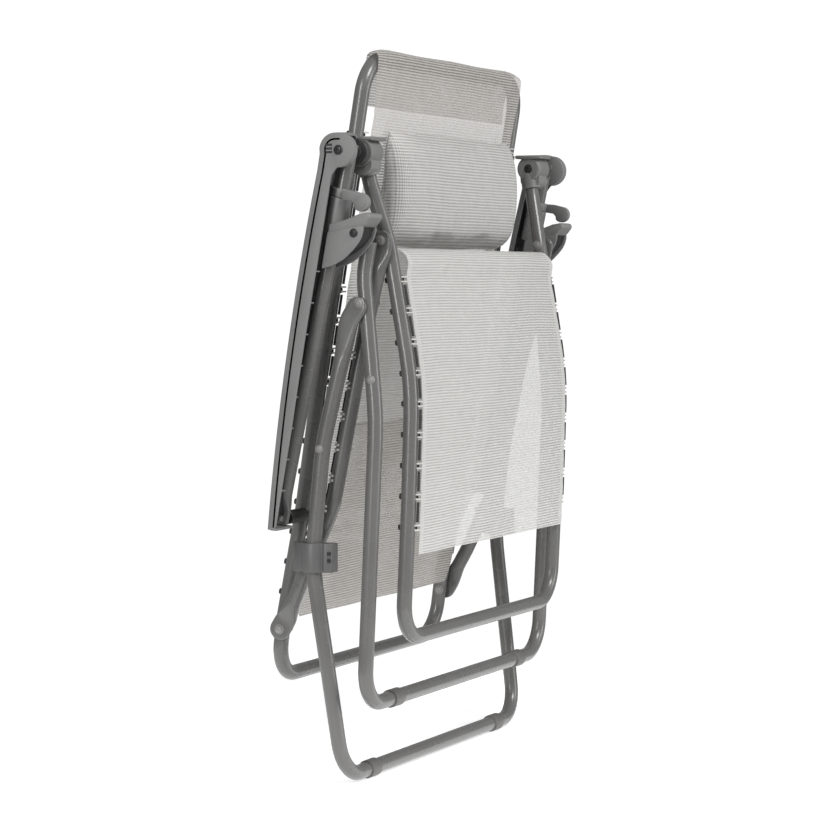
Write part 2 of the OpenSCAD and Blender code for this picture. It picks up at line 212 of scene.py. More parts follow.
def flattened(width, run, start=False, end=False):
    """A section that is round along most of its length and flattened to a tab with a round tip at an end."""

    def section(s, length):
        d = min(s if start else 1e9, length - s if end else 1e9)
        t = 1 - ease((d - width * 1.6) / run)
        ra = TUBE_R + (TAB_T / 2 - TUBE_R) * t
        rb = TUBE_R + (width - TUBE_R) * t
        if d < width:
            rb *= math.sqrt(max(1 - (1 - d / width) ** 2, 0.004))
            ra *= 1 - 0.25 * (1 - d / width) ** 6
        return ra, rb, 2 + 3 * t

    return section


def lathe(centre, axis, profile, sides=48):
    """A turned shape about an axis through centre: profile is (radius, distance along the axis) pairs."""
    axis = unit(axis)
    u = unit(np.cross(axis, (0, 0, 1) if abs(axis[2]) < 0.9 else (0, 1, 0)))
    v = np.cross(axis, u)
    rings = [ring(np.asarray(centre, float) + axis * h, u, v, max(r, 0.01), max(r, 0.01), 2, sides)
             for r, h in profile]
    return skin(rings)


def merge(*shapes):
    """Several (vertices, faces) as one."""
    verts, faces, base = [], [], 0
    for v, f in shapes:
        verts.append(v)
        faces += [tuple(i + base for i in face) for face in f]
        base += len(v)
    return np.vstack(verts), faces


def piece(name, shape, material, body, slot=None, replaces=(), sharp=38, bevel=0, mirror=False, uv=None):
    """A mesh object that rides on a body. A bevel rounds its sharp edges by that many millimetres."""
    verts, faces = shape
    if mirror:
        verts = mirrored(verts)
    mesh = bpy.data.meshes.new(name)
    mesh.from_pydata(row(verts).tolist(), [], faces)
    bm = bmesh.new()
    bm.from_mesh(mesh)
    if uv is not None:
        layer = bm.loops.layers.uv.new("weave")
        for face in bm.faces:
            for loop in face.loops:
                loop[layer].uv = uv[loop.vert.index]
    else:
        bmesh.ops.remove_doubles(bm, verts=bm.verts, dist=1e-6)
        bmesh.ops.recalc_face_normals(bm, faces=bm.faces)
    if bevel:
        edges = [e for e in bm.edges if e.is_manifold and e.calc_face_angle() > math.radians(30)]
        bmesh.ops.bevel(bm, geom=edges, offset=bevel * 0.001, segments=3, profile=0.5,
                        affect="EDGES", clamp_overlap=True)
    bm.to_mesh(mesh)
    bm.free()
    mesh.polygons.foreach_set("use_smooth", [True] * len(mesh.polygons))
    mesh.set_sharp_from_angle(angle=math.radians(sharp))
    mesh.materials.append(material)
    obj = bpy.data.objects.new(name, mesh)
    scene.collection.objects.link(obj)
    if body:
        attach(obj, body)
    if replaces:
        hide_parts(*replaces)
    return obj


def slab(outline, x0, x1):
    """A plate of the side view: an outline of (y, z) points, given thickness from x0 to x1."""
    o = np.asarray(outline, float)
    rings = [np.column_stack([np.full(len(o), x), o]) for x in (x0, x1)]
    return skin(rings)


def arc(centre, r, a0, a1, step=8.0):
    """Points of the side view on an arc; angles are in degrees from +y towards +z."""
    n = max(2, math.ceil(abs(a1 - a0) / step))
    t = np.radians(np.linspace(a0, a1, n + 1))
    return [(centre[0] + r * math.cos(x), centre[1] + r * math.sin(x)) for x in t]


def on_arm(s, off=0.0):
    """A place of the side view along the armrest tube, from its front pivot, off towards the rear."""
    return ARM_FRONT + s * ARM_DIR + off * np.array([-ARM_DIR[1], ARM_DIR[0]])


def at_z(path, z):
    """The point where a left-hand path crosses a height."""
    p = np.asarray(path)
    order = np.argsort(p[:, 2])
    return np.array([np.interp(z, p[order, 2], p[order, i]) for i in range(3)])


# ---------------------------------------------------------------- materials


class Nodes:
    """A new material's node tree with its Principled shader, and a short way to add and join nodes."""

    def __init__(self, name, color, roughness, specular=0.5):
        self.material = bpy.data.materials.new(name)
        self.material.use_nodes = True
        self.tree = self.material.node_tree
        self.shader = self.tree.nodes["Principled BSDF"]
        self.output = self.tree.nodes["Material Output"]
        self.shader.inputs["Base Color"].default_value = (*color, 1)
        self.shader.inputs["Roughness"].default_value = roughness
        self.shader.inputs["Specular IOR Level"].default_value = specular

    def add(self, kind, inputs=None, **settings):
        node = self.tree.nodes.new("ShaderNode" + kind)
        for key, value in settings.items():
            setattr(node, key, value)
        for key, value in (inputs or {}).items():
            if isinstance(value, bpy.types.NodeSocket):
                self.tree.links.new(value, node.inputs[key])
            else:
                node.inputs[key].default_value = value
        return node

    def join(self, output, socket):
        self.tree.links.new(output, socket)

    def math(self, operation, a, b=0.0):
        return self.add("Math", {0: a, 1: b}, operation=operation).outputs[0]

    def ramp(self, fac, low, high, color_low, color_high):
        node = self.add("ValToRGB", {"Fac": fac})
        node.color_ramp.elements[0].position = low
        node.color_ramp.elements[1].position = high
        node.color_ramp.elements[0].color = (*color_low, 1)
        node.color_ramp.elements[1].color = (*color_high, 1)
        return node.outputs["Color"]


def speckled(name, color, roughness, grain, bump, spread=0.12, wear=0.0, specular=0.5, coat=0.0):
    """Paint or moulded plastic: a slight mottle in its colour and roughness, a fine grain, and worn edges."""
    n = Nodes(name, color, roughness, specular)
    place = n.add("TexCoord").outputs["Object"]
    cloud = n.add("TexNoise", {"Vector": place, "Scale": 18.0, "Detail": 4.0}).outputs["Fac"]
    fleck = n.add("TexNoise", {"Vector": place, "Scale": grain, "Detail": 2.0}).outputs["Fac"]
    mixed = n.math("ADD", n.math("MULTIPLY", cloud, 0.6), n.math("MULTIPLY", fleck, 0.4))
    low = tuple(c * (1 - spread) for c in color)
    high = tuple(c * (1 + spread) for c in color)
    tone = n.ramp(mixed, 0.35, 0.65, low, high)
    if wear:
        edge = n.ramp(n.add("NewGeometry").outputs["Pointiness"], 0.52, 0.6, (0, 0, 0), (wear, wear, wear))
        bare = tuple(min(1, c * 2.2) for c in color) + (1,)
        tone = n.add("MixRGB", {"Fac": edge, "Color1": tone, "Color2": bare}, blend_type="MIX").outputs[0]
    n.join(tone, n.shader.inputs["Base Color"])
    rough = n.ramp(cloud, 0.3, 0.7, (roughness * 0.85,) * 3, (min(1, roughness * 1.15),) * 3)
    n.join(rough, n.shader.inputs["Roughness"])
    relief = n.add("Bump", {"Height": fleck, "Strength": bump, "Distance": 0.0004})
    n.join(relief.outputs["Normal"], n.shader.inputs["Normal"])
    if coat:
        n.shader.inputs["Coat Weight"].default_value = coat
        n.shader.inputs["Coat Roughness"].default_value = 0.25
    return n.material


# Where a doubled hem starts, in metres from the middle: NO_HEM lies past every cloth's edge
NO_HEM = 9.0
# The distance between two ribs of the weave, in millimetres
WEAVE_PITCH = 3.7


def woven(name, light, dark, pitch=WEAVE_PITCH, open_share=0.3, coords="UV", translucent=0.25, hem=NO_HEM):
    """Open vinyl mesh: thick ribs across, thinner threads along, and gaps that light passes through.

    Past hem metres from the middle the cloth is doubled, so it is smoother, paler and closed, and the painted
    shade of its hollows mostly gives way to an even pale tone.
    """
    n = Nodes(name, light, 0.62, 0.3)
    place = n.add("TexCoord").outputs[coords]
    split = n.add("SeparateXYZ", {"Vector": place})
    across, along = split.outputs["X"], split.outputs["Y" if coords == "UV" else "Z"]
    wobble = n.add("TexNoise", {"Vector": place, "Scale": 9.0, "Detail": 2.0}).outputs["Fac"]
    shift = n.math("MULTIPLY", wobble, 0.004)
    rib = n.math("SINE", n.math("MULTIPLY", n.math("ADD", along, shift), 2 * math.pi / (pitch * 0.001)))
    thread_pitch = pitch * 0.00062
    thread = n.math("SINE", n.math("MULTIPLY", across, 2 * math.pi / thread_pitch))
    # the cloth is high on a rib and on a thread, and opens between both
    height = n.math("ADD", n.math("MULTIPLY", rib, 0.5), n.math("MULTIPLY", thread, 0.28))
    mottle = n.add("TexNoise", {"Vector": place, "Scale": 60.0, "Detail": 3.0}).outputs["Fac"]
    # the colour goes from dark where the weave is low to light where it is high: painted shade in the hollows
    # between ribs and threads, with a random mottle on top
    tone_at = n.math("ADD", height, n.math("MULTIPLY", mottle, 0.5))
    tone = n.ramp(n.math("ADD", n.math("MULTIPLY", tone_at, 0.5), 0.4), 0.1, 0.75, dark, light)
    doubled = n.math("GREATER_THAN", n.math("ABSOLUTE", across), hem)
    pale = tuple(0.85 * c for c in light) + (1,)
    smooth = n.math("MULTIPLY", doubled, 0.7)
    tone = n.add("MixRGB", {"Fac": smooth, "Color1": tone, "Color2": pale}).outputs[0]
    n.join(tone, n.shader.inputs["Base Color"])
    relief = n.add("Bump", {"Height": height, "Strength": 0.6, "Distance": 0.0006})
    n.join(relief.outputs["Normal"], n.shader.inputs["Normal"])
    n.shader.inputs["Sheen Weight"].default_value = 0.15
    through = n.add("BsdfTranslucent", {"Color": tone})
    cloth = n.add("MixShader", {"Fac": translucent, 1: n.shader.outputs[0], 2: through.outputs[0]})
    hole = n.ramp(n.math("ADD", n.math("MULTIPLY", height, 0.5), 0.5), 0.12, 0.62,
                  (open_share * 2,) * 3, (open_share * 0.25,) * 3)
    clear = n.add("BsdfTransparent", {"Color": (1, 1, 1, 1)})
    open_here = n.math("MULTIPLY", hole, n.math("SUBTRACT", 1.0, doubled))
    both = n.add("MixShader", {"Fac": open_here, 1: cloth.outputs[0], 2: clear.outputs[0]})
    n.join(both.outputs[0], n.output.inputs["Surface"])
    return n.material


FRAME_PAINT = speckled("frame_paint", (0.122, 0.12, 0.118), 0.27, 900, 0.12, 0.07, 0.25, 0.5, 0.3)
GREY_PLASTIC = speckled("grey_plastic", (0.175, 0.175, 0.173), 0.5, 1500, 0.25, 0.08, 0.2)
KNUCKLE_PLASTIC = speckled("knuckle_plastic", (0.165, 0.165, 0.162), 0.48, 1500, 0.25, 0.08, 0.2)
# black plastic for the spacer sleeves and lock cores; the same black is also painted shade, in the armrest
# hollows, the armrest slots and the fold clip holes
BLACK_PLASTIC_AND_PAINTED_SHADE = speckled("black_plastic", (0.012, 0.012, 0.012), 0.55, 1500, 0.25)
FOOT_PLASTIC = speckled("foot_plastic", (0.12, 0.117, 0.113), 0.5, 1200, 0.3, 0.1)
CLIP_PLASTIC = speckled("clip_plastic", (0.1, 0.1, 0.099), 0.42, 1500, 0.2, 0.08, 0.2)
WASHER = speckled("washer_plastic", (0.05, 0.05, 0.05), 0.5, 1500, 0.2)
RIVET_STEEL = speckled("rivet_steel", (0.23, 0.225, 0.22), 0.34, 1800, 0.2, 0.1, 0.3)
SCREW_BLACK = speckled("screw_black", (0.02, 0.02, 0.02), 0.35, 1800, 0.2)
# the back and seat cloth is painted darker and browner as painted shade, and the legrest cloth paler and more
# neutral as painted light: one cloth in a shaded and a lit copy
SHADED_MESH_FABRIC = woven("mesh_fabric", (0.68, 0.655, 0.615), (0.25, 0.237, 0.22))
LIT_LEGREST_FABRIC = woven("legrest_fabric", (0.83, 0.825, 0.805), (0.46, 0.455, 0.44), open_share=0.16,
                       hem=0.234)
PILLOW_FABRIC = woven("pillow_fabric", (0.58, 0.574, 0.556), (0.23, 0.226, 0.218), pitch=4.0,
                      open_share=0.0, coords="Object", translucent=0.0)
STRAP = woven("strap_webbing", (0.05, 0.05, 0.05), (0.02, 0.02, 0.02), pitch=2.0, open_share=0.0,
              coords="Object", translucent=0.0)
# black elastic for the lace hooks; the same black also paints shade, as strands in the slots between hem and
# tube
ELASTIC_AND_SLOT_SHADE = speckled("lace_elastic", (0.03, 0.03, 0.03), 0.8, 2500, 0.6)
RUNG = speckled("lace_rung", (0.55, 0.54, 0.52), 0.7, 2500, 0.6)

# ---------------------------------------------------------------- frame tubes

legrest_path = rounded(both_sides(LEGREST_SIDE))
front_leg_path = rounded(both_sides(FRONT_LEG_SIDE))
rear_leg_path = rounded(both_sides(REAR_LEG_SIDE))
back_path = rounded(both_sides(BACK_SIDE), closed=True)
seat_path = rounded(SEAT_SIDE)


def frame_tubes():
    piece("legrest_tube", sweep(legrest_path, round_tube), FRAME_PAINT, "legrest", "frame_paint",
          ["legrest_frame"])
    piece("front_leg_tube", sweep(front_leg_path, round_tube), FRAME_PAINT, "front_leg", "frame_paint",
          ["front_leg_frame"])
    rear = sweep(rear_leg_path, flattened(TAB_R, 80, start=True, end=True), step=4)
    piece("rear_leg_tube", rear, FRAME_PAINT, "rear_leg", "frame_paint", ["rear_leg_frame"])
    piece("back_tube", sweep(back_path, round_tube, closed=True), FRAME_PAINT, "back", "frame_paint",
          ["back_frame"])
    seat_ends = np.array(seat_path)
    seat_ends[0] -= unit(seat_ends[1] - seat_ends[0]) * HIP_TAB_R
    seat_ends[-1] += unit(seat_ends[-1] - seat_ends[-2]) * TAB_R
    bar = sweep(seat_ends, flattened(HIP_TAB_R, 34, start=True, end=True), step=3)
    piece("seat_bar_tube_left", bar, FRAME_PAINT, "seat", "frame_paint", ["seat_bar_left"])
    piece("seat_bar_tube_right", bar, FRAME_PAINT, "seat", "frame_paint", ["seat_bar_right"], mirror=True)
    ends = [on_arm(-9), on_arm(ARM_LEN + 12)]
    path = np.array([(-ARM_X, *e) for e in ends])
    arm = sweep(path, flattened(12.5, 26, end=True), step=3)
    piece("arm_tube_left_tube", arm, FRAME_PAINT, "armrests", "frame_paint", ["arm_tube_left"])
    piece("arm_tube_right_tube", arm, FRAME_PAINT, "armrests", "frame_paint", ["arm_tube_right"], mirror=True)


# ---------------------------------------------------------------- rivets and screws

RIVET_PROFILE = [(8.2, 0), (8.0, 0.7), (6.9, 0.8), (6.5, 0.5), (6.1, 1.4), (5.2, 2.2), (3.2, 2.7),
                 (1.6, 2.8), (0.6, 2.4), (0.0, 2.4)]


def heads(places, direction, size=0.8, depth=0.0):
    """Rivet heads on the left side: places are (x of the seat of the head, (y, z)), facing direction."""
    rim = RIVET_PROFILE[0][0]
    return merge(*[lathe((x, p[0], p[1]), (direction, 0, 0),
                         [(rim * size, -depth)] + [(r * size, h * 0.9) for r, h in RIVET_PROFILE])
                   for x, p in places])


def rivet_set(name, left, body, nodes, slot="rivet_steel", material=None):
    """The rivets of one joint on both sides, from the left side's shape."""
    both = merge(left, (mirrored(left[0]), left[1]))
    piece(name, both, material or RIVET_STEEL, body, slot, nodes)


def shank(p, x0, x1, r=3.0):
    return lathe((x0, p[0], p[1]), (1, 0, 0), [(r, 0), (r, x1 - x0)])


def rivets():
    apex_out = -FRONT_LEG_X - TUBE_R - GAP - TAB_T
    rivet_set("apex_rivet_heads", merge(heads([(apex_out, APEX)], -1), heads([(-SEAT_X + 8, APEX)], 1),
              shank(APEX, apex_out, -SEAT_X + 9)), "front_leg", ["leg_apex_rivets"])
    hip_out = -BACK_X - TUBE_R - GAP - TAB_T
    rivet_set("hip_rivet_heads", merge(heads([(hip_out, HIP)], -1), heads([(-BACK_X + TUBE_R, HIP)], 1),
              shank(HIP, hip_out, -BACK_X + TUBE_R)), "seat", ["seat_back_rivets"])
    knee_out = KNEE_TAB_X - TAB_T / 2
    rivet_set("knee_rivet_heads", merge(heads([(knee_out, KNEE)], -1), heads([(-246, KNEE)], 1),
              shank(KNEE, knee_out, -246)), "seat", ["knee_rivets"])
    splice = (-48, 530)
    rivet_set("front_leg_splice_heads", merge(heads([(-FRONT_LEG_X - TUBE_R + 0.4, splice)], -1, 0.66, 2),
              heads([(-FRONT_LEG_X + TUBE_R - 0.4, splice)], 1, 0.66, 2)), "front_leg",
              ["front_leg_splice_rivets"])
    splice = (22, 440)
    rivet_set("rear_leg_splice_heads", merge(heads([(-301 - TUBE_R + 0.4, splice)], -1, 0.66, 2),
              heads([(-301 + TUBE_R - 0.4, splice)], 1, 0.66, 2)), "rear_leg", ["rear_leg_splice_rivets"])
    rivet_set("arm_rear_rivet_heads", merge(heads([(-BACK_X + TUBE_R, ARM_REAR)], 1),
              shank(ARM_REAR, -ARM_X + TAB_T / 2 + GAP, -BACK_X + TUBE_R)), "back", ["arm_rear_rivets"])
    rivet_set("arm_tail_rivet_heads", merge(heads([(-ARM_X - TAB_T / 2, ARM_REAR)], -1)), "armrests",
              ["arm_tail_rivets"])


# ---------------------------------------------------------------- armrests

SHELL_OUT, SHELL_IN = -358.0, -308.0
ARMREST_TOP, ARMREST_TAIL, ARMREST_BOW = np.array([-4.0, 812.0]), np.array([72.0, 338.0]), 8.0
HEAD_R = 22.0
RIB_PITCH = 40.0
WALL = 2.8
REAR_POINTS = 28


def armrest_rear(n=REAR_POINTS):
    """The rear edge of an armrest from its tail to its head, as a shallow arc, and then over the head."""
    chord = ARMREST_TOP - ARMREST_TAIL
    length = float(np.linalg.norm(chord))
    r = (length ** 2 / 4 + ARMREST_BOW ** 2) / (2 * ARMREST_BOW)
    half = math.asin(length / 2 / r)
    along, out = chord / length, np.array([chord[1], -chord[0]]) / length
    middle = (ARMREST_TOP + ARMREST_TAIL) / 2
    edge = [middle + out * (ARMREST_BOW - r) + r * (out * math.cos(t) + along * math.sin(t))
            for t in np.linspace(-half, half, n)]
    over = arc((-25, 820), 22, 0, 90, 9)
    return [tuple(p) for p in edge[:-1]] + [(-3.5, 815)] + over[1:] + [(-32, 842)]


def rise(x):
    """How much of its crown the armrest's top surface has at a distance across it."""
    return float(np.interp(x, (-352, -343, -333, -325, -315, -308), (0, 0.35, 0.8, 1, 1, 0.9)))


def armrest(side, mirror):
    rear = armrest_rear()
    front = [(60.5, 341), (58.6, 351), (48.5, 408), (37.5, 467), (27, 530), (16, 594), (6.5, 645), (-3, 695),
             (-11, 738), (-16.5, 770), (-18, 780), (-20.5, 789), (-26, 796)]
    disc = arc(ARM_FRONT, HEAD_R, -85, -270, 10)
    wall = slab(rear[:-2] + disc[::-1] + front[::-1], SHELL_OUT, SHELL_OUT + 3)
    piece(f"armrest_wall_{side}", wall, GREY_PLASTIC, "armrests", "grey_plastic",
          [f"armrest_{side}"], bevel=0.9, mirror=mirror)
    r = 7.0
    bend = [(SHELL_OUT + r - r * math.cos(t), r - r * math.sin(t)) for t in np.linspace(0, math.pi / 2, 6)]
    lip = [(SHELL_IN - 5 + 5 * math.sin(t), 5 - 5 * math.cos(t)) for t in np.linspace(0, math.pi / 2, 5)]
    section = [(SHELL_OUT, 9.5)] + bend + [(-343, -0.7), (-333, -0.9), (-322, -0.7)] + lip + [
        (SHELL_IN, 8.5), (SHELL_IN - 0.6, 9.2), (SHELL_IN - 2, 9.2), (SHELL_IN - 2.6, 8.5),
        (SHELL_IN - 2.6, 5.5), (SHELL_IN - 5, 2.7), (SHELL_OUT + r, 2.7), (SHELL_OUT + WALL, r),
        (SHELL_OUT + WALL, 9.5)]
    p = np.array(rear)
    rings = []
    for i, q in enumerate(p):
        t = unit(p[min(i + 1, len(p) - 1)] - p[max(i - 1, 0)])
        inward = np.array([-t[1], t[0]])
        if inward @ (ARM_FRONT - q) < 0 and i > len(p) - 8:
            inward = -inward
        crown = 12.0 * float(np.clip((812 - q[1]) / 474, 0, 1))
        rings.append(np.array([(x, *(q + inward * d + (crown * rise(x), 0))) for x, d in section]))
    piece(f"armrest_band_{side}", skin(rings), GREY_PLASTIC, "armrests", "grey_plastic", mirror=mirror,
          bevel=0)
    t = unit(p[1] - p[0])
    inward = np.array([-t[1], t[0]])
    tail = [p[0] + inward * d + t * s for d, s in ((0.3, 3), (0.3, 0.6), (12, 0), (12, 3))]
    end = slab(tail, SHELL_OUT + 0.4, SHELL_IN - 0.6)
    ribs = []
    for i in range(8):
        z = 388 + RIB_PITCH * i
        y = float(np.interp(z, p[:REAR_POINTS, 1], p[:REAR_POINTS, 0]))
        y0, y1 = y - 3, y - (9 + 10 * i / 8) - 4
        ribs.append(slab([(y0, z - 0.8), (y0, z + 0.8), (y1, z + 0.8), (y1, z - 0.8)],
                         SHELL_OUT + 2, SHELL_OUT + 16))
    piece(f"armrest_ribs_{side}", merge(end, *ribs), GREY_PLASTIC, "armrests", "grey_plastic", mirror=mirror)
    # a black panel inside the armrest's hollow, behind the tube: painted shade for the deep shade in the
    # hollow, not a part of the chair
    hollow_shade = [tuple(q + np.array([-5.0, 0])) for q in p[1:26]]
    hollow_shade += [(y - 1.6, z) for y, z in hollow_shade[::-1]]
    piece(f"armrest_hollow_shade_{side}", slab(hollow_shade, SHELL_OUT + 3.2, SHELL_IN - 3), BLACK_PLASTIC_AND_PAINTED_SHADE, "armrests",
          "black_plastic", mirror=mirror)
    boss = lathe((SHELL_OUT + 0.3, *ARM_FRONT), (1, 0, 0),
                 [(HEAD_R - 1.5, 0), (HEAD_R - 0.6, 2), (HEAD_R - 0.6, 11), (HEAD_R - 2, 12)])
    piece(f"armrest_boss_{side}", boss, GREY_PLASTIC, "armrests", "grey_plastic", mirror=mirror)
    # a black patch behind the two bars: painted shade for the dark inside of the slot in the armrest's head,
    # which is not cut
    slot = [(-21.5, 816), (-12.5, 816), (-12.5, 828), (-21.5, 828)]
    bars = [[(-21, z), (-13, z), (-13, z + 1.4), (-21, z + 1.4)] for z in (819, 823.5)]
    piece(f"armrest_slot_{side}", slab(slot, SHELL_OUT - 0.15, SHELL_OUT + 2), BLACK_PLASTIC_AND_PAINTED_SHADE,
          "armrests", "black_plastic", mirror=mirror)
    piece(f"armrest_slot_bars_{side}", merge(*[slab(b, SHELL_OUT - 0.3, SHELL_OUT + 1) for b in bars]),
          GREY_PLASTIC, "armrests", "grey_plastic", mirror=mirror)
    washer = lathe((-314.8, *ARM_FRONT), (1, 0, 0),
                   [(9, 0), (9, 4.3), (16.2, 4.3), (17, 5.1), (17, 13.4), (16.2, 14.2)])
    piece(f"armrest_washer_{side}", washer, WASHER, "armrests", "black_plastic", [f"arm_washer_{side}"],
          mirror=mirror)


def socket_screw(centre, direction, r):
    """A round screw head with a collar and a dark socket in its middle."""
    collar = [(r + 2.2, -1), (r + 2.2, 0.3), (r + 1.6, 0.8), (r + 0.9, 0.8), (r + 0.7, 0.2)]
    button = [(r, 0.3), (r, 1.6), (r - 0.8, 2.2), (r * 0.5, 2.2), (r * 0.45, 0.8)]
    return lathe(centre, (direction, 0, 0), collar + button, 40)


def screws():
    out = merge(socket_screw((SHELL_OUT, *ARM_FRONT), -1, 4.2), shank(ARM_FRONT, -352, -262),
                socket_screw((-262, *ARM_FRONT), 1, 4.2))
    rivet_set("arm_front_screw_heads", out, "legrest", ["arm_front_screws"], "screw_black", SCREW_BLACK)
    pivot = merge(socket_screw((-345, *LOCK), -1, 3.6), shank(LOCK, -344, -302), shank((4, 703), -308, -303))
    rivet_set("lock_screw_heads", pivot, "lock_housings", ["lock_pivot_screws"], "screw_black", SCREW_BLACK)
    spacer = lathe((-ARM_X + 4, *ARM_REAR), (1, 0, 0),
                   [(5, 0), (5, 15), (8.2, 15), (9, 15.8), (9, 59.8), (8.2, 60.6)])
    rivet_set("arm_rear_spacer_sleeves", spacer, "back", ["arm_rear_spacers"], "black_plastic", BLACK_PLASTIC_AND_PAINTED_SHADE)


# ---------------------------------------------------------------- knuckles, locks, clips and feet


def knuckle(side, mirror):
    barrel = lathe((-300, *ARM_FRONT), (1, 0, 0),
                   [(16, 0), (18.2, 1.2), (18.8, 3), (18.8, 33), (18, 36), (15.5, 38)])
    top = [q for q in fine(legrest_path, 3) if q[2] > 790 and q[0] < 0]
    sleeve = sweep(np.array(top), lambda s, length: (13.6, 13.6, 2.0), sides=36)
    cheek = slab(arc(ARM_FRONT, 16.5, 20, 160) + arc((-31, 806), 15.5, 200, 340), -295, -266)
    piece(f"knuckle_{side}", merge(barrel, sleeve, cheek), KNUCKLE_PLASTIC, "legrest", "grey_plastic",
          [f"legrest_knuckle_{side}"], bevel=0, mirror=mirror)
    cap = slab([(-50, 834.5), (-10, 834.5), (-10, 839.5), (-50, 839.5)], -300, -259)
    piece(f"knuckle_cap_{side}", cap, KNUCKLE_PLASTIC, "legrest", "grey_plastic", bevel=1.4, mirror=mirror)


def along_arm(profile, sides=48):
    """A turned shape round the armrest tube: profile is (radius, distance from the front pivot)."""
    return lathe((-ARM_X, *ARM_FRONT), (0, *ARM_DIR), profile, sides)


def lock(side, mirror):
    lower = [(-7.5, 717), (-30, 721), (-57.5, 725.5), (-58, 720), (-55.5, 711), (-51.5, 704), (-45.5, 697),
             (-37, 688.5), (-27, 681), (-14, 675), (0.5, 671.5), (-0.5, 680)]
    name, body = f"lock_housing_{side}", "lock_housings"
    piece(f"lock_plate_{side}", slab(lower, -345, -341.5), GREY_PLASTIC, body, "grey_plastic", [name],
          bevel=1.0, mirror=mirror)
    piece(f"lock_inner_plate_{side}", slab(lower, -308, -304.8), GREY_PLASTIC, body, "grey_plastic",
          bevel=0.8, mirror=mirror)
    web = [(-8.5, 716), (-30, 719), (-55, 723), (-52, 712), (-44, 702), (-30, 692), (-12, 684)]
    piece(f"lock_core_{side}", slab(web, -342, -307.5), BLACK_PLASTIC_AND_PAINTED_SHADE, body, "black_plastic", bevel=0.8,
          mirror=mirror)
    shoulder = [(-7.5, 715.5), (-9.5, 728), (-24, 731), (-36, 734.5), (-50, 739.5), (-62, 741.5),
                (-66.5, 740), (-67, 735), (-62, 728.5), (-58, 724), (-30, 718.5)]
    piece(f"lock_shoulder_{side}", slab(shoulder, -344.6, -305), GREY_PLASTIC, body, "grey_plastic",
          bevel=2.6, mirror=mirror)
    sleeve = along_arm([(10.4, 60), (14.0, 60), (14.6, 60.6), (14.8, 66), (14.8, 84), (14.6, 104),
                        (14.0, 106), (10.4, 106)])
    piece(f"lock_sleeve_{side}", sleeve, GREY_PLASTIC, body, "grey_plastic", mirror=mirror)
    lever = f"lever_{side}"
    ring_part = along_arm([(10.4, 48.2), (13.2, 48.2), (13.8, 48.9), (14.0, 51), (14.0, 58.4), (13.6, 59.4),
                           (10.4, 59.4)])
    piece(f"lever_ring_{side}", ring_part, GREY_PLASTIC, lever, "grey_plastic", [f"lock_lever_{side}"],
          mirror=mirror)
    paddle = (-53.0, 754.5)
    outline = [(-27, 770.5), (-40, 769.5), (-50, 767)] + arc(paddle, 11.5, 95, 320, 12) + [
        (-43.7, 752), (-40, 756), (-27, 758)]
    piece(f"lever_paddle_{side}", slab(outline, -342, -333.5), GREY_PLASTIC, lever, "grey_plastic",
          bevel=1.2, mirror=mirror)
    rim = slab(arc(paddle, 8.0, 0, 348, 12), -342.8, -341.4)
    piece(f"lever_button_{side}", rim, KNUCKLE_PLASTIC, lever, "grey_plastic", bevel=0.6, mirror=mirror)


def plan_block(outline, z0, z1):
    """A block of the plan view: an outline of (x, y) points, given height from z0 to z1."""
    o = np.asarray(outline, float)
    return skin([np.column_stack([o, np.full(len(o), z)]) for z in (z0, z1)])


def fold_clip(side, mirror):
    b = at_z(rear_leg_path[rear_leg_path[:, 0] < 0], 299)
    t = np.radians(np.linspace(250, 110, 15))
    wrap = [(b[0] + 14.6 * math.cos(x), b[1] + 14.6 * math.sin(x)) for x in t]
    outline = [(-301, 7), (-303, 9), (-306, 17)] + wrap + [(-303, 50), (-300, 58), (-299, 64), (-296, 67),
               (-291, 67), (-288, 63), (-287, 52), (-286, 34), (-286, 7)]
    piece(f"fold_clip_body_{side}", plan_block(outline, 280, 318), CLIP_PLASTIC, "rear_leg", "grey_plastic",
          [f"fold_clip_{side}"], bevel=1.6, mirror=mirror)
    # two black patches on the clip: painted shade for the dark inside of its two small holes, which are not
    # cut
    hole_shades = merge(*[slab([(9, z - 2.2), (13, z - 2.2), (13, z + 2.2), (9, z + 2.2)], -305.6, -300)
                    for z in (296, 305)])
    piece(f"fold_clip_hole_shades_{side}", hole_shades, BLACK_PLASTIC_AND_PAINTED_SHADE, "rear_leg", "black_plastic", mirror=mirror)


def feet():
    """Thin sleeves wrapped under a floor bar beside its corners."""
    for name, body, y, z in (("front_foot", "front_leg", -34, 108), ("rear_foot", "rear_leg", 0, FOOT_Z)):
        profile = [(10.05, -14), (11.6, -13.6), (12.0, -12.4), (12.0, 12.4), (11.6, 13.6), (10.05, 14)]
        verts, faces = lathe((-205, y, z), (1, 0, 0), profile, 48)
        verts = np.array(verts)
        verts[:, 2] = np.maximum(verts[:, 2], z - FOOT_Z)
        rivet_set(f"{name}_sleeves", (verts, faces), body, [f"{name}_pads"], "grey_plastic", FOOT_PLASTIC)


# ---------------------------------------------------------------- fabric

FABRIC_OFF = 12.0


def side_curve(path, z0, z1, off, n):
    """The side-view curve of a left-hand path between two heights, moved back by off."""
    left = path[path[:, 0] < 0]
    return np.array([(at_z(left, z)[1] + off, z) for z in np.linspace(z0, z1, n)])


def smooth_curve(points, step=6.0):
    """A Catmull-Rom curve through side-view points, with points about a step apart."""
    p = np.asarray(points, float)
    p = np.vstack([2 * p[0] - p[1], p, 2 * p[-1] - p[-2]])
    out = []
    for i in range(1, len(p) - 2):
        a, b, c, d = p[i - 1:i + 3]
        n = max(2, round(np.linalg.norm(c - b) / step))
        for t in np.arange(n) / n:
            out.append(0.5 * (2 * b + (c - a) * t + (2 * a - 5 * b + 4 * c - d) * t ** 2
                              + (3 * b - a - 3 * c + d) * t ** 3))
    return np.array(out + [p[-2]])


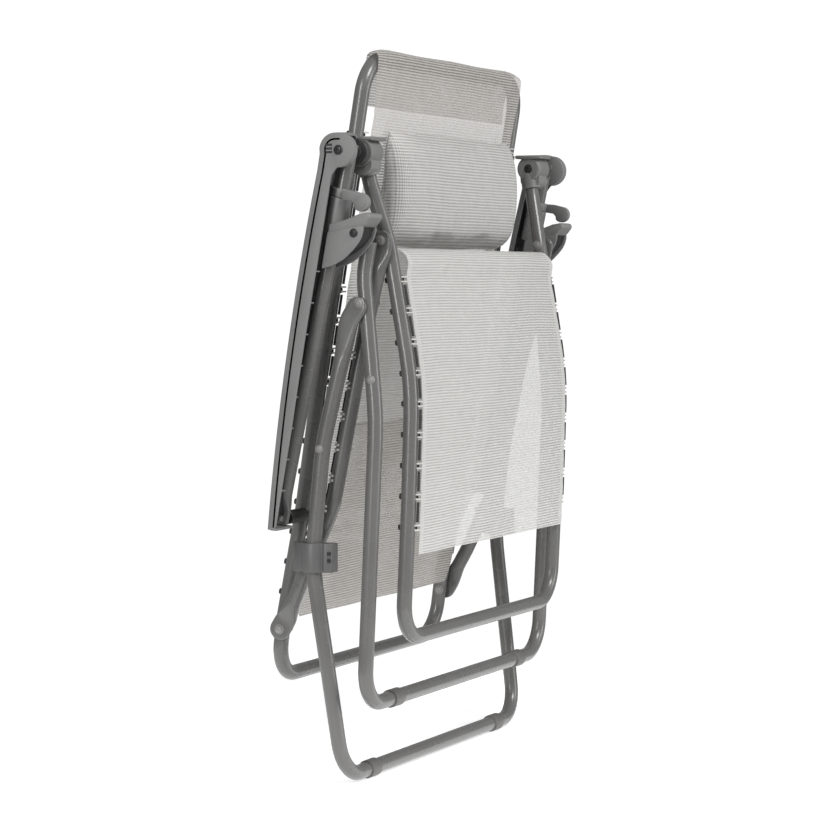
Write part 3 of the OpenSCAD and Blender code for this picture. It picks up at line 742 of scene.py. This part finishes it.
def cloth_strip(curve, half, columns, ripple):
    """A strip of cloth that follows a side-view curve: its vertices, faces and weave coordinates in metres.

    half(s) is the half width at s along the curve, and ripple(x, s) moves the cloth along its own normal.
    """
    s = np.concatenate([[0], np.cumsum(np.linalg.norm(np.diff(curve, axis=0), axis=1))])
    tangent = np.gradient(curve, axis=0)
    tangent /= np.linalg.norm(tangent, axis=1)[:, None]
    normal = np.column_stack([tangent[:, 1], -tangent[:, 0]])
    verts, uv = [], []
    for i, (y, z) in enumerate(curve):
        for j in range(columns + 1):
            lo, hi = -half(s[i]), half(s[i])
            x = lo + (hi - lo) * j / columns
            d = ripple(x, s[i])
            verts.append((x, y + normal[i, 0] * d, z + normal[i, 1] * d))
            uv.append((x * 0.001, s[i] * 0.001))
    k = columns + 1
    faces = [(i * k + j, i * k + j + 1, (i + 1) * k + j + 1, (i + 1) * k + j)
             for i in range(len(curve) - 1) for j in range(columns)]
    return np.array(verts), faces, uv


def cloth(name, strip, material, slot="mesh_fabric"):
    verts, faces, uv = strip
    return piece(name, (verts, faces), material, None, slot, uv=uv, sharp=180)


back_bar = np.array([-18.0, 945.0])


def back_curve():
    """From the hem behind the head bar, over it, down the back panel, round the hip fold and up the seat."""
    over = [back_bar + (TUBE_R + 2.2) * np.array([math.cos(a), math.sin(a)])
            for a in np.radians(np.linspace(10, 190, 10))]
    behind = [(1, 884), (0, 905), (-3, 925)]
    down = side_curve(back_path, 915, 268, -FABRIC_OFF, 26)
    seat_up = side_curve(seat_path, 300, 470, TUBE_R + 3, 8)
    fold = [(90, 240), (94, 222), (91.5, 211.5), (86, 220), (79, 245), (72.5, 272)]
    return smooth_curve(np.vstack([behind, over, down, fold, seat_up]))


def front_curve():
    """From the middle of the seat up its rear side, over the knee fold, and down the front of the legrest."""
    seat_up = side_curve(seat_path, 466, 664, TUBE_R + 3, 10)
    fold = [(-32, 682), (-42, 694), (-56, 698), (-68, 692), (-75, 680)]
    down = side_curve(legrest_path, 660, 303, -FABRIC_OFF - 2, 16)
    return smooth_curve(np.vstack([seat_up, fold, down]))


def scallop(s, start, depth):
    """How far an edge draws in between its lacing points."""
    return depth * (0.5 - 0.5 * math.cos(2 * math.pi * (s - start) / LACE_PITCH))


def fabrics():
    curve = back_curve()
    head_len = 120.0

    def half(s):
        if s < head_len:
            return 238.0
        if s < 170:
            return 238.0 + (232 - 238) * ease((s - head_len) / 50)
        return 232.0 - scallop(s, 200, 1.6)

    def head_ripple(x, s):
        edge = max(0.0, abs(x) - 195) / 45
        return -6.0 * edge ** 2 * math.exp(-((s - 70) / 30) ** 2) + 0.5 * math.sin(x / 31 + s / 60)

    sheet = cloth("back_sheet", cloth_strip(curve, half, 72, head_ripple), SHADED_MESH_FABRIC)
    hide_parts("back_fabric", "seat_fabric")
    between = np.array([69.0, 300.0])
    across = unit((1, 0.2086))
    a, b = between - across * 2, between + across * 2
    row([0, *a])[0]
    row([0, *b])[0]
    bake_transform(sheet)

    curve2 = front_curve()

    def half2(s):
        seat = 232.0 - scallop(s, 20, 1.6)
        leg = 247.0 - scallop(s, 330, 1.2)
        return seat + (leg - seat) * ease((s - 190) / 60)

    def sag(x, s):
        return 0.6 * math.sin(x / 47 + 1.3) * math.sin(s / 83)

    front = cloth("legrest_sheet", cloth_strip(curve2, half2, 72, sag), LIT_LEGREST_FABRIC)
    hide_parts("legrest_fabric")
    mid = np.array([-50.0, 690.0])
    row([0, *(mid + (12, 0))])[0]
    row([0, *(mid - (14, 0))])[0]
    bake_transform(front)


# ---------------------------------------------------------------- pillow


def pillow_shape():
    """A closed cushion: a grid wrapped on a crowned box that leans with the back."""
    cols = 44
    half_w = 203.0
    verts = []
    outline = pillow_section()
    for j in range(cols + 1):
        x = -half_w + 2 * half_w * j / cols
        e = 1 - abs(x / half_w) ** 9
        squeeze = 0.35 + 0.65 * max(e, 0.0) ** 0.5
        centre = np.mean(outline, axis=0)
        pinch = 1 - 0.05 * (x / half_w) ** 2
        # the ends are thinner, sit closer to the back, and pull in between top and bottom
        verts.append(np.array([(x, centre[0] + 8 * (1 - squeeze) + (y - centre[0]) * squeeze,
                                centre[1] + (z - centre[1]) * (0.93 + 0.07 * squeeze) * pinch)
                               for y, z in outline]))
    return skin(verts)


def pillow_section():
    """The cushion's side-view outline in the middle: flat against the back, full in front."""
    corners = [(-24, 861), (-18.5, 855), (-5, 780), (7, 706), (0, 695), (-16, 699), (-36, 716), (-45, 750),
               (-47, 790), (-43, 825), (-35, 850)]
    return smooth_curve(corners + corners[:1], 8.0)[:-1]


def inflate(obj, cap, frames=20, pressure=3.0):
    """Cloth simulation of a closed cushion under pressure, with each point's move capped."""
    remesh = obj.modifiers.new("remesh", "REMESH")
    remesh.mode = "VOXEL"
    remesh.voxel_size = 0.006
    apply_modifier(obj, remesh)
    before = np.array([v.co for v in obj.data.vertices])
    sim = obj.modifiers.new("cloth", "CLOTH")
    sim.settings.quality = 5
    sim.settings.use_pressure = True
    sim.settings.uniform_pressure_force = pressure
    sim.settings.effector_weights.gravity = 0
    sim.settings.tension_stiffness = 15
    sim.settings.compression_stiffness = 15
    sim.settings.bending_stiffness = 0.5
    for f in range(1, frames + 1):
        scene.frame_set(f)
    apply_modifier(obj, sim)
    after = np.array([v.co for v in obj.data.vertices])
    moved = after - before
    size = np.linalg.norm(moved, axis=1)
    after = before + moved * (np.minimum(size, cap) / np.maximum(size, 1e-9))[:, None]
    obj.data.vertices.foreach_set("co", after.ravel())
    scene.frame_set(1)


def apply_modifier(obj, modifier):
    bpy.ops.object.select_all(action="DESELECT")
    bpy.context.view_layer.objects.active = obj
    obj.select_set(True)
    bpy.ops.object.modifier_apply(modifier=modifier.name)


def pillow():
    obj = piece("pillow_cushion", pillow_shape(), PILLOW_FABRIC, None, "pillow_fabric", ["headrest_pillow"],
                sharp=180)
    inflate(obj, 0.006)
    subdivision = obj.modifiers.new("smooth", "SUBSURF")
    subdivision.levels = subdivision.render_levels = 1
    apply_modifier(obj, subdivision)
    obj.data.polygons.foreach_set("use_smooth", [True] * len(obj.data.polygons))
    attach(obj, "headrest")
    strap = slab([(12, 780), (15, 780), (18, 760), (15, 760)], -30, 30)
    piece("pillow_strap_band", strap, STRAP, "headrest", "strap_webbing", ["pillow_strap"], bevel=0.4)


# ---------------------------------------------------------------- lacing


def round_tube_point(path, z, angle, out):
    """A point near a side tube at a height, out from its surface: 0 degrees faces inward and 90 back."""
    p = at_z(path, z)
    a = math.radians(angle)
    return p + (TUBE_R + out) * np.array([math.cos(a), math.sin(a), 0])


def hook(path, z, a0, a1):
    """A flat loop of elastic part of the way round a side tube, pulled against it."""
    p = at_z(path, z)
    d = unit(at_z(path, z + 3) - at_z(path, z - 3))
    v = unit(np.cross(d, (1, 0, 0)))
    rings = []
    for a in np.radians(np.linspace(a0, a1, 16)):
        out = np.array([math.cos(a), 0, 0]) + math.sin(a) * v
        rings.append(ring(p + (TUBE_R + 0.7) * out, out, d, 2.1, 3.8, 2.6, 16))
    return skin(rings)


def cords(path, z, points, gauge=1.1):
    """Two thin cords side by side through places near a side tube, each (angle, distance out)."""
    shapes = []
    for dz in (-3.0, 3.0):
        shapes.append(strand([round_tube_point(path, z, a, out) + (0, 0, dz) for a, out in points], gauge))
    return merge(*shapes)


def strand(points, r, sides=12):
    """A thin cord through points."""
    p = np.asarray(points, float)
    rings = []
    for i in range(len(p)):
        t = unit(p[min(i + 1, len(p) - 1)] - p[max(i - 1, 0)])
        a = unit(np.cross(t, (0.1, 0.2, 1)))
        rings.append(ring(p[i], a, np.cross(t, a), r, r, 2, sides))
    return skin(rings)


def lacing():
    """Elastic that ties the hems to the side tubes: dark hooks behind and cords at the hem, and black strands
    between the ties that are painted shade in the slots between hem and tube.
    """
    for name, body, path, z0, z1, hem in (
        ("back", "back", back_path, 245, 845, [(-80, 0), (-68, 3), (-38, 8)]),
        ("seat", "seat", seat_path, 361, 561, [(a, 0.8) for a in range(165, -61, -15)]),
        ("legrest", "legrest", legrest_path, 338, 658, [(-95, 0), (-84, 2), (-68, 6)]),
    ):
        left = path[path[:, 0] < 0]
        heights = np.arange(z0, z1 + 1, LACE_PITCH)
        loops = merge(*[cords(left, z, hem, 1.6 if name == "seat" else 1.1) for z in heights])
        if name == "seat":
            rivet_set("seat_lace_cords", loops, body, ["seat_lace_loops"], "lace_elastic", RUNG)
            place, gauge = (112, 0.4), 1.4
        else:
            hooks = merge(*[hook(left, z, 108, -50) for z in heights])
            rivet_set(f"{name}_lace_hooks", hooks, body, [f"{name}_lace_loops"], "lace_elastic", ELASTIC_AND_SLOT_SHADE)
            rivet_set(f"{name}_lace_cords", loops, body, [], "lace_elastic", RUNG)
            place, gauge = (-79, 2.6), 1.8
        # black strands along the tube between the ties: painted shade for the dark slots between the hem and
        # the tube
        between = np.linspace(7, LACE_PITCH - 7, 5)
        slot_shades = [strand([round_tube_point(left, z + t, *place) for t in between], gauge)
                for z in heights[:-1]]
        rivet_set(f"{name}_lace_slot_shades", merge(*slot_shades), body, [], "lace_elastic", ELASTIC_AND_SLOT_SHADE)


# ---------------------------------------------------------------- studio


def studio():
    """A pale floor, white all round for the camera, and a dimmer world and three soft lights."""
    bpy.ops.mesh.primitive_plane_add(size=1.6, location=(0, 0, 0))
    floor = bpy.context.object
    floor.name = "studio_floor"
    n = Nodes("studio_floor", (0.9, 0.9, 0.9), 0.9, 0.1)
    n.shader.inputs["Emission Color"].default_value = (1, 1, 1, 1)
    n.shader.inputs["Emission Strength"].default_value = 0.58
    floor.data.materials.append(n.material)
    world = bpy.data.worlds.new("studio")
    scene.world = world
    world.use_nodes = True
    nodes, links = world.node_tree.nodes, world.node_tree.links
    background = nodes["Background"]
    background.inputs["Color"].default_value = (1, 1, 1, 1)
    seen = nodes.new("ShaderNodeLightPath")
    strength = nodes.new("ShaderNodeMapRange")
    strength.inputs["To Min"].default_value = 0.33
    strength.inputs["To Max"].default_value = 1.05
    links.new(seen.outputs["Is Camera Ray"], strength.inputs["Value"])
    links.new(strength.outputs["Result"], background.inputs["Strength"])
    for name, place, size, power in (
        ("key_light", (-1.2, -2.6, 3.0), (1.2, 1.2), 84),
        ("fill_light", (1.0, -3.4, 0.9), (1.2, 2.0), 32),
        ("side_light", (-3.4, 0.2, 1.4), (0.45, 2.4), 58),
    ):
        light = bpy.data.lights.new(name, "AREA")
        light.shape = "RECTANGLE"
        light.size, light.size_y = size
        light.energy = power
        obj = bpy.data.objects.new(name, light)
        obj.location = place
        obj.rotation_euler = (Vector((0, 0, 0.5)) - Vector(place)).to_track_quat("-Z", "Y").to_euler()
        scene.collection.objects.link(obj)
    data = bpy.data.cameras.new("camera")
    data.lens, data.sensor_width = 117.4, 36.0
    camera = bpy.data.objects.new("camera", data)
    camera.location = (-3.3967, -1.5679, 0.6534)
    camera.rotation_euler = (math.radians(90 - 2.78), 0, math.radians(-65))
    scene.collection.objects.link(camera)
    scene.camera = camera
    scene.view_settings.view_transform = "Standard"


studio()
frame_tubes()
rivets()
for side_name, flipped in (("left", False), ("right", True)):
    armrest(side_name, flipped)
    knuckle(side_name, flipped)
    lock(side_name, flipped)
    fold_clip(side_name, flipped)
screws()
feet()
fabrics()
pillow()
lacing()
